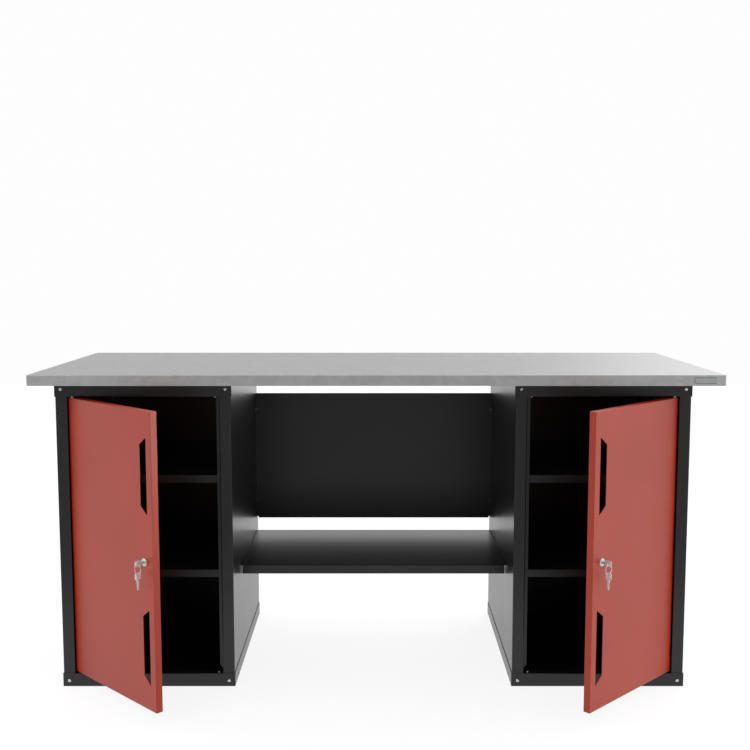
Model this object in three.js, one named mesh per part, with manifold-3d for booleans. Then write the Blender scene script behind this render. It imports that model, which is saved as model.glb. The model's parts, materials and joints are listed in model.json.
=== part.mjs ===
// A workbench on two lockable cabinets: a steel-clad worktop, two folded-sheet cabinets with a
// door each, and a shelf and a rear panel across the bay between them.
// Millimetres, +Z up, floor at Z = 0, the doors face -Y and stand half open.
import * as THREE from "three";
import { mergeVertices } from "three/addons/utils/BufferGeometryUtils.js";
import Module from "manifold-3d";

const wasm = await Module();
wasm.setup();

// Sheet and fits
const SHEET = 1.2; // steel sheet of every folded piece
const BEND = 1.0; // inside radius of a fold
const BEND_FLATS = 2; // flats along a fold
const FOLD_LEG = 1.0; // flat strip beyond a fold, folded in one with a skirt
const CORNER_RELIEF = 0.5; // slot between two folds that meet at a corner
const FIT = 0.3; // gap between pieces that are fastened or rest together
const RUN = 0.1; // radial running gap of a pivot or a turning plug
const ROUND_SIDES = 12; // flats round a turned piece
const ARC_FLATS = 4; // flats along an arc of an outline

// Worktop
const TOP_LENGTH = 1800;
const TOP_DEPTH = 690;
const TOP_THICKNESS = 28;
const TOP_OVERHANG = 77; // beyond the front of the cabinets
const END_OVERHANG = 56.5; // beyond the cabinets' outer sides, mean of both ends
const TOP_SHIFT = 8; // worktop's middle, to the right of the cabinets' middle

// Cabinets
const CABINET_WIDTH = 466; // over the side panels
const CABINET_DEPTH = 600; // over the trays
const CABINET_HEIGHT = 834;
const TRAY_SKIRT = 37.5;
const TRAY_RETURN = 22; // pivot flange behind the front skirt
const TRAY_RETURN_GAP = 1.0; // from a post to the end of the pivot flange
const POST_WIDTH = 31.5; // front flange of a side panel
const LIP_WIDTH = 11; // door stop along a post
const LIP_FOOT = 4; // lip's foot above the base tray's skirt
const LIP_HEAD = 1; // lip's head below the top cap's skirt
const LIP_CORNER = [7, 12]; // cut off at the foot: across and up
const SWING_GAP = 0.4; // from the lip to the door's rear corner as it swings past
const REAR_FLANGE = 25;
const LINK_HOLE = { radius: 4, back: 62, up: 12 }; // for bolting cabinets together, through skirt and panel

// Cabinet shelves
const SHELF_TOPS = { lower: 312.5, upper: 575.5 };
const SHELF_SETBACK = 50; // behind the cabinet's front
const SHELF_DEPTH = 540;
const SHELF_FLANGE = 21;
const TAB_SPREAD = 145; // tabs before and behind the cabinet's middle
const TAB_DROP = 15; // foot of a tab below the shelf's top
const TAB_HEIGHT = 13;
const SLIT_WIDTH = 5;
const SLIT_HEADROOM = 5; // slit above the shelf's top, to hook the tab in

// Door and its pivots
const DOOR_OPEN = 45; // degrees from closed
const DOOR_THICKNESS = 18;
const DOOR_RECESS = 1.8; // closed door's face behind the cabinet's front
const DOOR_GAP = 3.25; // above and below the door
const LOCK_SIDE_GAP = 8.75; // from the closed door's free edge to the post
const PIVOT_INSET = 12; // from the post's edge
const PIVOT_TO_EDGE = 8; // from the pivot to the door's hinge edge
const PIVOT_TO_FACE = 7; // from the pivot to the door's face
const PIN_RADIUS = 2.5;
const PIN_COLLAR = 3.6;
const PIN_LENGTH = 9; // inside the door
const RIVET_RADIUS = 4;
const RIVET_HEIGHT = 1.5;
const STUD_HEIGHT = 2.6;

// Grip slots, two to a door
const SLOT_LONG = 194; // side towards the free edge
const SLOT_SHORT = 152;
const SLOT_WIDTH = 29.4;
const SLOT_EDGE = 22; // from the free edge
const SLOT_RISE = 215.5; // from the door's middle

// Cam lock
const LOCK_EDGE = 38.5; // from the free edge
const LOCK_RADIUS = 9;
const LOCK_LENGTH = 21; // behind the door's face
const BEZEL_RADIUS = 10.5;
const BEZEL_RIM = 1.2;
const BEZEL_HEIGHT = 4;
const BEZEL_MOUTH = 7.6;
const NUT_ACROSS = 24;
const NUT_HEIGHT = 4.5;
const NUT_SIDES = 6;
const PLUG_RADIUS = 6.4;
const PLUG_SINK = 0.8; // plug's face below the bezel's
const TENON = 8; // square end of the plug, in the cam
const CAM_THICKNESS = 2;
const CAM_WIDTH = 15;
const CAM_REACH = 44;
const CAM_SCREW = { radius: 2, bite: 2, head: 4.2, height: 2.6 }; // bite: into the plug's barrel
const PLUG_END = 3.6; // solid end of the plug behind the keyway

// Keys
const KEY_THICKNESS = 2;
const BLADE_WIDTH = 6.3;
const BLADE_TIP = 4;
const KEY_PROUD = 27.6; // key's end beyond the door's face
const NECK_WIDTH = 9;
const NECK_LENGTH = 4.2;
const BOW_LENGTH = 17.4;
const BOW_WIDTH = 16;
const BOW_CORNER = 3.5;
const EYE_RADIUS = 2.75;
const EYE_INSET = 7.6; // eye's middle from the key's end
const RING_RADIUS = 13; // to the middle of the wire
const WIRE_RADIUS = 0.9;
const WIRE_SIDES = 6;
const RING_SIDES = 24;

// Bay shelf and rear panel
const BAY_SHELF_TOP = 291;
const BAY_SHELF_FRONT = 166; // behind the cabinets' front
const BAY_SHELF_DEPTH = 400;
const BAY_SHELF_FLANGE = 25;
const BAY_SHELF_NOTCH = 2.5; // at the ends of its front and rear flanges
const BAY_SHELF_BOLTS = 140; // before and behind its middle
const PANEL_BOTTOM = 330.4;
const PANEL_HEIGHT = 406;
const PANEL_INSET = 27; // its rear face before the side panels' rear
const PANEL_FLANGE = 20;
const PANEL_NOTCH = 5; // at the bottom corners
const PANEL_BOLTS = [58.5, 354.5]; // above its bottom
const PANEL_BOLT_INSET = 10; // from its rear face

// Round-head screws
const SCREW_RADIUS = 2.4;
const SCREW_HEAD = 4.1;
const SCREW_RIM = 1.0; // straight edge of the head
const SCREW_CROWN = 2.6; // radius of the head's flat top
const SCREW_DOME = 2.6; // height of the head
const SCREW_LENGTH = 9;
const SCREW_INSET = 17; // from the tray's edges
const RECESS_LENGTH = 4.4;
const RECESS_WIDTH = 1.0;
const RECESS_DEPTH = 1.3;

// Derived sizes
const FOLD = SHEET + BEND;
const WRAP = SHEET + FIT; // a tray's skirt outside a side panel
const DOOR_WIDTH = CABINET_WIDTH - 2 * POST_WIDTH - (PIVOT_INSET - PIVOT_TO_EDGE) - LOCK_SIDE_GAP;
const DOOR_HEIGHT = CABINET_HEIGHT - 2 * (TRAY_SKIRT + DOOR_GAP);
const DOOR_REACH = DOOR_WIDTH - PIVOT_TO_EDGE; // from the pivot to the free edge
const PIVOT_X = POST_WIDTH + PIVOT_INSET;
const PIVOT_Y = DOOR_RECESS + PIVOT_TO_FACE;
const SWING_RADIUS = Math.hypot(PIVOT_TO_EDGE, DOOR_THICKNESS - PIVOT_TO_FACE); // to the door's rear corner
const LIP_FRONT = PIVOT_Y + SWING_RADIUS + SWING_GAP;
const BACK_FACE = CABINET_DEPTH - WRAP; // rear face of a back panel
const SIDE_REAR = BACK_FACE - SHEET - FIT; // rear face of a side panel
const PANEL_REAR = SIDE_REAR - PANEL_INSET;
const BAY_WIDTH = TOP_LENGTH - 2 * (END_OVERHANG + CABINET_WIDTH); // between the cabinets' side panels
const HALF_BAY = BAY_WIDTH / 2;

// Materials
const charcoal = new THREE.MeshStandardMaterial({ color: 0x2c2c2d, roughness: 0.4, metalness: 0 });
const red = new THREE.MeshStandardMaterial({ color: 0xa3271b, roughness: 0.4, metalness: 0 });
const zinc = new THREE.MeshStandardMaterial({ color: 0xb9bbbd, roughness: 0.45, metalness: 1 });
const wood = new THREE.MeshStandardMaterial({ color: 0xb78a57, roughness: 0.75, metalness: 0 });
const bright = new THREE.MeshStandardMaterial({ color: 0xd5d6d8, roughness: 0.25, metalness: 1 });
const nickel = new THREE.MeshStandardMaterial({ color: 0xc9c5b8, roughness: 0.22, metalness: 1 });

// A closed geometry as a solid to join or cut.
function solidOf(geometry) {
  const bare = geometry.clone();
  bare.deleteAttribute("normal");
  bare.deleteAttribute("uv");
  const merged = mergeVertices(bare);
  const corners = merged.index.array;
  const triangles = [];
  for (let i = 0; i < corners.length; i += 3) {
    const [a, b, c] = corners.slice(i, i + 3);
    if (a !== b && b !== c && c !== a) triangles.push(a, b, c);
  }
  return new wasm.Manifold(new wasm.Mesh({
    numProp: 3,
    vertProperties: merged.attributes.position.array,
    triVerts: new Uint32Array(triangles),
  }));
}

function geometryOf(solid) {
  const { vertProperties, triVerts } = solid.getMesh();
  const geometry = new THREE.BufferGeometry();
  geometry.setAttribute("position", new THREE.BufferAttribute(vertProperties, 3));
  geometry.setIndex(new THREE.BufferAttribute(triVerts, 1));
  return geometry;
}

function join(first, ...others) {
  return geometryOf(others.reduce((whole, other) => whole.add(solidOf(other)), solidOf(first)));
}

function cut(blank, ...tools) {
  return geometryOf(tools.reduce((rest, tool) => rest.subtract(solidOf(tool)), solidOf(blank)));
}

function block([x0, y0, z0], [x1, y1, z1]) {
  const geometry = new THREE.BoxGeometry(x1 - x0, y1 - y0, z1 - z0);
  return geometry.translate((x0 + x1) / 2, (y0 + y1) / 2, (z0 + z1) / 2);
}

// The three ways to draw a section out: it lies in y, z for X, in z, x for Y and in x, y for Z.
const X = new THREE.Vector3(1, 0, 0);
const Y = new THREE.Vector3(0, 1, 0);
const Z = new THREE.Vector3(0, 0, 1);
const DRAWN_ALONG = {
  X: new THREE.Matrix4().makeBasis(Y, Z, X),
  Y: new THREE.Matrix4().makeBasis(Z, X, Y),
  Z: new THREE.Matrix4(),
};

function drawn(shape, axis, start, end) {
  const settings = { depth: end - start, bevelEnabled: false, curveSegments: ARC_FLATS };
  const geometry = new THREE.ExtrudeGeometry(shape, settings);
  return geometry.translate(0, 0, start).applyMatrix4(DRAWN_ALONG[axis]);
}

function polygon(points) {
  return new THREE.Shape(points.map(([a, b]) => new THREE.Vector2(a, b)));
}

// The section of a sheet that follows a line of points, on the line's left. Each corner of the
// line becomes two arcs about one centre, with radii of BEND and BEND + SHEET.
function folded(line) {
  const points = line.map(([a, b]) => new THREE.Vector2(a, b));
  const ways = points.slice(1).map((point, i) => point.clone().sub(points[i]).normalize());
  const leftOf = (way) => new THREE.Vector2(-way.y, way.x);
  const [near, far] = [[], []];
  points.forEach((point, i) => {
    const [before, after] = [ways[i - 1] ?? ways[i], ways[i] ?? ways[i - 1]];
    const left = leftOf(before);
    const turn = Math.atan2(before.cross(after), before.dot(after));
    if (turn === 0) {
      near.push(point);
      far.push(point.clone().addScaledVector(left, SHEET));
      return;
    }
    const side = Math.sign(turn);
    const radius = side > 0 ? FOLD : BEND;
    const centre = point.clone()
      .addScaledVector(before, -radius * Math.tan(Math.abs(turn) / 2))
      .addScaledVector(left, side * radius);
    for (let k = 0; k <= BEND_FLATS; k += 1) {
      const out = left.clone().rotateAround(new THREE.Vector2(), (turn * k) / BEND_FLATS);
      near.push(centre.clone().addScaledVector(out, -side * radius));
      far.push(centre.clone().addScaledVector(out, SHEET - side * radius));
    }
  });
  return new THREE.Shape([...near, ...far.reverse()]);
}

// A piece turned about Z from points of radius and height.
function turned(profile, sides = ROUND_SIDES) {
  const points = profile.map(([radius, height]) => new THREE.Vector2(radius, height));
  return new THREE.LatheGeometry(points, sides).rotateX(Math.PI / 2);
}

// A drill along one axis. Its flats lie outside the radius, so that a round pin clears them.
function drill(axis, radius, from, to, [x, y, z]) {
  const corner = radius / Math.cos(Math.PI / ROUND_SIDES);
  const rod = turned([[0, from], [corner, from], [corner, to], [0, to]]);
  if (axis === "X") rod.rotateY(Math.PI / 2);
  if (axis === "Y") rod.rotateX(-Math.PI / 2);
  return rod.translate(x, y, z);
}

// A pan folded from one sheet: a plate at Z = 0 and four skirts up to the given height. The
// front and rear skirts stop endRelief short of its ends, the side skirts sideRelief short.
const LEG = FOLD + FOLD_LEG;
function pan({ length, width, skirt, endRelief = 0, sideRelief = LEG + CORNER_RELIEF }) {
  const front = folded([[0, skirt], [0, 0], [LEG, 0]]);
  const rear = folded([[width - LEG, 0], [width, 0], [width, skirt]]);
  const left = folded([[0, LEG], [0, 0], [skirt, 0]]);
  const right = folded([[skirt, length], [0, length], [0, length - LEG]]);
  return join(
    block([FOLD, FOLD, 0], [length - FOLD, width - FOLD, SHEET]),
    drawn(front, "X", endRelief, length - endRelief),
    drawn(rear, "X", endRelief, length - endRelief),
    drawn(left, "Y", sideRelief, width - sideRelief),
    drawn(right, "Y", sideRelief, width - sideRelief),
  );
}

function mesh(name, geometry, material) {
  const piece = new THREE.Mesh(geometry, material);
  piece.name = name;
  return piece;
}

function placed(piece, [x, y, z], [turnX, turnY, turnZ] = [0, 0, 0]) {
  piece.position.set(x, y, z);
  piece.rotation.set(turnX, turnY, turnZ);
  return piece;
}

// A round-head screw: its head stands up from Z = 0, its shank goes down.
function screw(length) {
  const head = turned([
    [0, -length], [SCREW_RADIUS, -length], [SCREW_RADIUS, FIT], [SCREW_HEAD, FIT],
    [SCREW_HEAD, FIT + SCREW_RIM], [SCREW_CROWN, FIT + SCREW_DOME], [0, FIT + SCREW_DOME],
  ]);
  const floor = FIT + SCREW_DOME - RECESS_DEPTH;
  const [long, short] = [RECESS_LENGTH / 2, RECESS_WIDTH / 2];
  const roof = FIT + 2 * SCREW_DOME;
  return cut(
    head,
    block([-long, -short, floor], [long, short, roof]),
    block([-short, -long, floor], [short, long, roof]),
  );
}

// Worktop: a board in a steel skin folded down over its four edges.
function worktop() {
  const group = new THREE.Group();
  const skin = pan({ length: TOP_LENGTH, width: TOP_DEPTH, skirt: TOP_THICKNESS });
  const board = block([FOLD, FOLD, 0], [TOP_LENGTH - FOLD, TOP_DEPTH - FOLD, TOP_THICKNESS - WRAP]);
  group.add(
    placed(mesh("worktop_skin", skin, zinc), [TOP_LENGTH / 2, 0, TOP_THICKNESS], [0, Math.PI, 0]),
    placed(mesh("worktop_board", board, wood), [-TOP_LENGTH / 2, 0, 0]),
  );
  return placed(group, [0, -TOP_OVERHANG, CABINET_HEIGHT + FIT]);
}

// The pressing that serves as a cabinet's base and, turned over, as its top: a pan whose front
// skirt folds back between the posts, with a pivot hole at each end for doors of either hand.
function tray() {
  const length = CABINET_WIDTH + 2 * WRAP;
  const ends = WRAP + POST_WIDTH + TRAY_RETURN_GAP;
  const flange = folded([[TRAY_RETURN, TRAY_SKIRT], [0, TRAY_SKIRT], [0, TRAY_SKIRT - LEG]]);
  const trimmed = cut(
    pan({ length, width: CABINET_DEPTH, skirt: TRAY_SKIRT }),
    block([ends, -SHEET, TRAY_SKIRT - FOLD], [length - ends, 2 * SHEET, TRAY_SKIRT + SHEET]),
  );
  const whole = join(
    trimmed,
    drawn(flange, "X", ends + CORNER_RELIEF, length - ends - CORNER_RELIEF),
  );
  const pivots = [WRAP + PIVOT_X, length - WRAP - PIVOT_X].map((x) =>
    drill("Z", PIN_RADIUS + FIT, TRAY_SKIRT - 2 * SHEET, TRAY_SKIRT + SHEET, [x, PIVOT_Y, 0]));
  const screws = [SCREW_INSET, length - SCREW_INSET].map((x) =>
    drill("Y", SCREW_RADIUS + FIT, -SHEET, 2 * SHEET, [x, 0, SCREW_INSET]));
  const link = drill("X", LINK_HOLE.radius, -SHEET, length + SHEET, [0, LINK_HOLE.back, LINK_HOLE.up]);
  return cut(whole, ...pivots, ...screws, link);
}

// Where the tabs of a cabinet's shelves pass through its side panels, from front to rear.
const TAB_PLACES = [CABINET_DEPTH / 2 - TAB_SPREAD, CABINET_DEPTH / 2 + TAB_SPREAD];

// Bolts along X through a cabinet's inner side panel, as [y, z] places.
const PANEL_BOLT_PLACES = PANEL_BOLTS.map((rise) => [PANEL_REAR - PANEL_BOLT_INSET, PANEL_BOTTOM + rise]);
const SHELF_BOLT_PLACES = [-BAY_SHELF_BOLTS, BAY_SHELF_BOLTS].map((back) =>
  [BAY_SHELF_FRONT + BAY_SHELF_DEPTH / 2 + back, BAY_SHELF_TOP - BAY_SHELF_FLANGE / 2]);

// A side panel with its outer face at X = 0: rear flange, wall, post and the post's return, with
// a lip along the return for the door to close against.
function sidePanel(boltPlaces) {
  const [foot, head] = [FOLD, CABINET_HEIGHT - FOLD];
  const wall = folded([
    [REAR_FLANGE, SIDE_REAR], [0, SIDE_REAR], [0, WRAP],
    [POST_WIDTH, WRAP], [POST_WIDTH, LIP_FRONT - FOLD],
  ]);
  const lip = folded([
    [POST_WIDTH, LIP_FRONT - FOLD - LEG], [POST_WIDTH, LIP_FRONT],
    [POST_WIDTH + LIP_WIDTH, LIP_FRONT],
  ]);
  const lipFoot = TRAY_SKIRT + LIP_FOOT;
  const lipHead = CABINET_HEIGHT - TRAY_SKIRT - LIP_HEAD;
  const tip = POST_WIDTH + LIP_WIDTH;
  const [across, up] = LIP_CORNER;
  const corner = polygon([[lipFoot, tip - across], [lipFoot, tip], [lipFoot + up, tip]]);
  const cornerCut = drawn(corner, "Y", LIP_FRONT - FOLD, LIP_FRONT + FOLD);
  const slits = Object.values(SHELF_TOPS).flatMap((top) => TAB_PLACES.map((y) => block(
    [-SHEET, y - SLIT_WIDTH / 2, top - TAB_DROP - FIT],
    [2 * SHEET, y + SLIT_WIDTH / 2, top + SLIT_HEADROOM],
  )));
  const screws = [SCREW_INSET, CABINET_HEIGHT - SCREW_INSET].map((z) =>
    drill("Y", SCREW_RADIUS + FIT, 0, WRAP + 2 * SHEET, [SCREW_INSET - WRAP, 0, z]));
  const links = [LINK_HOLE.up, CABINET_HEIGHT - LINK_HOLE.up].map((z) =>
    drill("X", LINK_HOLE.radius, -SHEET, 2 * SHEET, [0, LINK_HOLE.back, z]));
  const bolts = boltPlaces.map(([y, z]) =>
    drill("X", SCREW_RADIUS + FIT, -SHEET, 2 * SHEET, [0, y, z]));
  const lipped = cut(drawn(lip, "Z", lipFoot, lipHead), cornerCut);
  return cut(join(drawn(wall, "Z", foot, head), lipped), ...slits, ...screws, ...links, ...bolts);
}

// A cabinet shelf: a pan turned over, hung on four tabs that stand out of its side skirts.
function cabinetShelf() {
  const length = CABINET_WIDTH - 2 * WRAP;
  const sides = [[-WRAP, SHEET], [length - SHEET, length + WRAP]];
  const tabs = TAB_PLACES.flatMap((place) => sides.map(([x0, x1]) => {
    const y = place - SHELF_SETBACK;
    return block([x0, y - SHEET / 2, TAB_DROP - TAB_HEIGHT], [x1, y + SHEET / 2, TAB_DROP]);
  }));
  return join(pan({ length, width: SHELF_DEPTH, skirt: SHELF_FLANGE }), ...tabs);
}

// A pivot riveted into a tray's flange at Z = 0: the door sits on its collar.
function pivotPin() {
  const seat = -SHEET - FIT;
  return turned([
    [0, seat - RIVET_HEIGHT], [RIVET_RADIUS, seat - RIVET_HEIGHT], [RIVET_RADIUS, seat], [PIN_RADIUS, seat],
    [PIN_RADIUS, FIT], [PIN_COLLAR, FIT], [PIN_COLLAR, DOOR_GAP - FIT], [PIN_RADIUS, DOOR_GAP - FIT],
    [PIN_RADIUS, DOOR_GAP + PIN_LENGTH], [0, DOOR_GAP + PIN_LENGTH],
  ]);
}

// The stud in a pivot hole that the door doesn't use.
function blankStud() {
  const seat = -SHEET - FIT;
  return turned([
    [0, seat - RIVET_HEIGHT], [RIVET_RADIUS, seat - RIVET_HEIGHT], [RIVET_RADIUS, seat], [PIN_RADIUS, seat],
    [PIN_RADIUS, STUD_HEIGHT - FIT], [PIN_RADIUS - FIT, STUD_HEIGHT], [0, STUD_HEIGHT],
  ]);
}

// A door about its pivot: X to the free edge, Y into the cabinet, Z from its middle.
function doorPan() {
  const half = DOOR_HEIGHT / 2;
  const face = -PIVOT_TO_FACE;
  const blank = pan({ length: DOOR_HEIGHT, width: DOOR_WIDTH, skirt: DOOR_THICKNESS })
    .applyMatrix4(DRAWN_ALONG.Y)
    .translate(-PIVOT_TO_EDGE, face, -half);
  const near = DOOR_REACH - SLOT_EDGE;
  const slots = [-SLOT_RISE, SLOT_RISE].map((rise) => drawn(polygon([
    [rise - SLOT_LONG / 2, near], [rise + SLOT_LONG / 2, near],
    [rise + SLOT_SHORT / 2, near - SLOT_WIDTH], [rise - SLOT_SHORT / 2, near - SLOT_WIDTH],
  ]), "Y", face - SHEET, face + 2 * SHEET));
  const pivots = [-half, half].map((end) =>
    drill("Z", PIN_RADIUS + RUN, end - 2 * SHEET, end + 2 * SHEET, [0, 0, 0]));
  const lockX = DOOR_REACH - LOCK_EDGE;
  const lock = drill("Y", LOCK_RADIUS + FIT, face - SHEET, face + 2 * SHEET, [lockX, 0, 0]);
  return cut(blank, ...slots, ...pivots, lock);
}

// Lock pieces share one frame: X to the door's free edge, Y up, Z out of the door, 0 on its face.
const CAM_FRONT = -LOCK_LENGTH - FIT;
const CAM_REAR = CAM_FRONT - CAM_THICKNESS;
const BLADE_DEPTH = LOCK_LENGTH - PLUG_END; // key's tip behind the door's face
const EYE_OUT = KEY_PROUD - EYE_INSET; // key's eye beyond the door's face
const WIRE_DROP = EYE_RADIUS - WIRE_RADIUS - FIT; // from the eye's middle to the wire that hangs in it

function lockBody() {
  const bore = (PLUG_RADIUS + RUN) / Math.cos(Math.PI / ROUND_SIDES);
  return turned([
    [bore, -LOCK_LENGTH], [LOCK_RADIUS, -LOCK_LENGTH], [LOCK_RADIUS, FIT], [BEZEL_RADIUS, FIT],
    [BEZEL_RADIUS, BEZEL_RIM], [BEZEL_MOUTH, BEZEL_HEIGHT], [bore, BEZEL_HEIGHT], [bore, -LOCK_LENGTH],
  ]);
}

function lockNut() {
  const reach = NUT_ACROSS / 2 / Math.cos(Math.PI / NUT_SIDES);
  const front = -SHEET - FIT;
  const back = front - NUT_HEIGHT;
  const hexagon = turned([[0, back], [reach, back], [reach, front], [0, front]], NUT_SIDES);
  return cut(hexagon, drill("Z", LOCK_RADIUS + FIT, front - 2 * NUT_HEIGHT, front + NUT_HEIGHT, [0, 0, 0]));
}

function lockPlug() {
  const face = BEZEL_HEIGHT - PLUG_SINK;
  const barrel = turned([[0, -LOCK_LENGTH], [PLUG_RADIUS, -LOCK_LENGTH], [PLUG_RADIUS, face], [0, face]]);
  const tenon = block([-TENON / 2, -TENON / 2, CAM_REAR], [TENON / 2, TENON / 2, FOLD - LOCK_LENGTH]);
  const [slotX, slotY] = [KEY_THICKNESS / 2 + FIT, BLADE_WIDTH / 2 + FIT];
  const keyway = block([-slotX, -slotY, -BLADE_DEPTH - FIT], [slotX, slotY, BEZEL_HEIGHT]);
  const threadEnd = CAM_SCREW.bite + FIT - LOCK_LENGTH;
  const thread = drill("Z", CAM_SCREW.radius + FIT, CAM_REAR - FIT, threadEnd, [0, 0, 0]);
  return cut(join(barrel, tenon), keyway, thread);
}

// The cam points up while the door is unlocked.
function lockCam() {
  const half = CAM_WIDTH / 2;
  const outline = new THREE.Shape();
  outline.absarc(0, CAM_REACH - half, half, 0, Math.PI);
  outline.absarc(0, 0, half, Math.PI, 2 * Math.PI);
  const hole = TENON / 2 + FIT;
  return cut(
    drawn(outline, "Z", CAM_REAR, CAM_FRONT),
    block([-hole, -hole, CAM_REAR - FIT], [hole, hole, CAM_FRONT + FIT]),
  );
}

function camScrew() {
  const seat = CAM_REAR - FIT;
  const tip = CAM_SCREW.bite - LOCK_LENGTH;
  return turned([
    [0, seat - CAM_SCREW.height], [CAM_SCREW.head, seat - CAM_SCREW.height], [CAM_SCREW.head, seat],
    [CAM_SCREW.radius, seat], [CAM_SCREW.radius, tip], [0, tip],
  ]);
}

// A flat key along Z: blade, neck and a bow with rounded corners and an eye.
function flatKey() {
  const bowFoot = KEY_PROUD - BOW_LENGTH;
  const shoulder = bowFoot - NECK_LENGTH;
  const [side, corner] = [BOW_WIDTH / 2 - BOW_CORNER, BOW_CORNER];
  const outline = polygon([
    [-BLADE_TIP / 2, -BLADE_DEPTH], [BLADE_TIP / 2, -BLADE_DEPTH],
    [BLADE_WIDTH / 2, BLADE_WIDTH / 2 - BLADE_DEPTH], [BLADE_WIDTH / 2, shoulder],
    [NECK_WIDTH / 2, shoulder], [NECK_WIDTH / 2, bowFoot],
  ]);
  outline.absarc(side, bowFoot + corner, corner, -Math.PI / 2, 0);
  outline.absarc(side, KEY_PROUD - corner, corner, 0, Math.PI / 2);
  outline.absarc(-side, KEY_PROUD - corner, corner, Math.PI / 2, Math.PI);
  outline.absarc(-side, bowFoot + corner, corner, Math.PI, 1.5 * Math.PI);
  outline.lineTo(-NECK_WIDTH / 2, bowFoot);
  outline.lineTo(-NECK_WIDTH / 2, shoulder);
  outline.lineTo(-BLADE_WIDTH / 2, shoulder);
  outline.lineTo(-BLADE_WIDTH / 2, BLADE_WIDTH / 2 - BLADE_DEPTH);
  const eye = drill("X", EYE_RADIUS, -KEY_THICKNESS, KEY_THICKNESS, [0, 0, EYE_OUT]);
  return cut(drawn(outline, "X", -KEY_THICKNESS / 2, KEY_THICKNESS / 2), eye);
}

function lockWithKeys(side) {
  const group = new THREE.Group();
  const key = flatKey();
  const ring = new THREE.TorusGeometry(RING_RADIUS, WIRE_RADIUS, WIRE_SIDES, RING_SIDES);
  const ringMiddle = -WIRE_DROP - RING_RADIUS;
  const spareEye = ringMiddle - RING_RADIUS - WIRE_DROP;
  group.add(
    mesh(`${side}_lock_body`, lockBody(), bright),
    mesh(`${side}_lock_nut`, lockNut(), bright),
    mesh(`${side}_lock_plug`, lockPlug(), nickel),
    mesh(`${side}_lock_cam`, lockCam(), bright),
    mesh(`${side}_cam_screw`, camScrew(), bright),
    mesh(`${side}_key`, key, nickel),
    placed(mesh(`${side}_key_ring`, ring, bright), [0, ringMiddle, EYE_OUT]),
    placed(mesh(`${side}_spare_key`, key, nickel), [0, spareEye - EYE_OUT, EYE_OUT], [-Math.PI / 2, 0, 0]),
  );
  return placed(group, [DOOR_REACH - LOCK_EDGE, -PIVOT_TO_FACE, 0], [Math.PI / 2, 0, 0]);
}

function hungDoor(side) {
  const group = new THREE.Group();
  group.add(mesh(`${side}_door`, doorPan(), red), lockWithKeys(side));
  const turn = -THREE.MathUtils.degToRad(DOOR_OPEN);
  return placed(group, [PIVOT_X, PIVOT_Y, CABINET_HEIGHT / 2], [0, 0, turn]);
}

// A cabinet with its hinge side at X = 0 and its inner side, towards the bay, at CABINET_WIDTH.
function cabinet(side) {
  const group = new THREE.Group();
  const [low, high] = [TRAY_SKIRT, CABINET_HEIGHT - TRAY_SKIRT];
  const bolted = sidePanel([...PANEL_BOLT_PLACES, ...SHELF_BOLT_PLACES]);
  const innerSide = mesh(`${side}_inner_side`, bolted, charcoal);
  innerSide.scale.x = -1;
  const back = block([0, BACK_FACE - SHEET, FOLD], [CABINET_WIDTH, BACK_FACE, CABINET_HEIGHT - FOLD]);
  const farStud = CABINET_WIDTH - PIVOT_X;
  const cap = mesh(`${side}_top_cap`, tray(), charcoal);
  group.add(
    placed(mesh(`${side}_base_tray`, tray(), charcoal), [-WRAP, 0, 0]),
    placed(cap, [CABINET_WIDTH + WRAP, 0, CABINET_HEIGHT], [0, Math.PI, 0]),
    mesh(`${side}_outer_side`, sidePanel([]), charcoal),
    placed(innerSide, [CABINET_WIDTH, 0, 0]),
    mesh(`${side}_back_panel`, back, charcoal),
    placed(mesh(`${side}_pivot_bottom`, pivotPin(), bright), [PIVOT_X, PIVOT_Y, low]),
    placed(mesh(`${side}_pivot_top`, pivotPin(), bright), [PIVOT_X, PIVOT_Y, high], [Math.PI, 0, 0]),
    placed(mesh(`${side}_stud_bottom`, blankStud(), bright), [farStud, PIVOT_Y, low]),
    placed(mesh(`${side}_stud_top`, blankStud(), bright), [farStud, PIVOT_Y, high], [Math.PI, 0, 0]),
    hungDoor(side),
  );
  for (const [level, top] of Object.entries(SHELF_TOPS)) {
    const shelf = mesh(`${side}_${level}_shelf`, cabinetShelf(), charcoal);
    group.add(placed(shelf, [CABINET_WIDTH - WRAP, SHELF_SETBACK, top], [0, Math.PI, 0]));
  }
  const columns = { outer: SCREW_INSET - WRAP, inner: CABINET_WIDTH + WRAP - SCREW_INSET };
  const rows = { base: SCREW_INSET, top: CABINET_HEIGHT - SCREW_INSET };
  for (const [column, x] of Object.entries(columns)) {
    for (const [row, z] of Object.entries(rows)) {
      const piece = mesh(`${side}_screw_${row}_${column}`, screw(SCREW_LENGTH), bright);
      group.add(placed(piece, [x, 0, z], [Math.PI / 2, 0, 0]));
    }
  }
  return group;
}

// The bay's shelf, a pan turned over and bolted to the cabinets through its end skirts.
function bayShelf() {
  const length = BAY_WIDTH - 2 * FIT;
  const blank = pan({
    length,
    width: BAY_SHELF_DEPTH,
    skirt: BAY_SHELF_FLANGE,
    endRelief: BAY_SHELF_NOTCH,
    sideRelief: 0,
  });
  const bolts = SHELF_BOLT_PLACES.map(([y, z]) =>
    drill("X", SCREW_RADIUS + FIT, -SHEET, length + SHEET, [0, y - BAY_SHELF_FRONT, BAY_SHELF_TOP - z]));
  return cut(blank, ...bolts);
}

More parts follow.
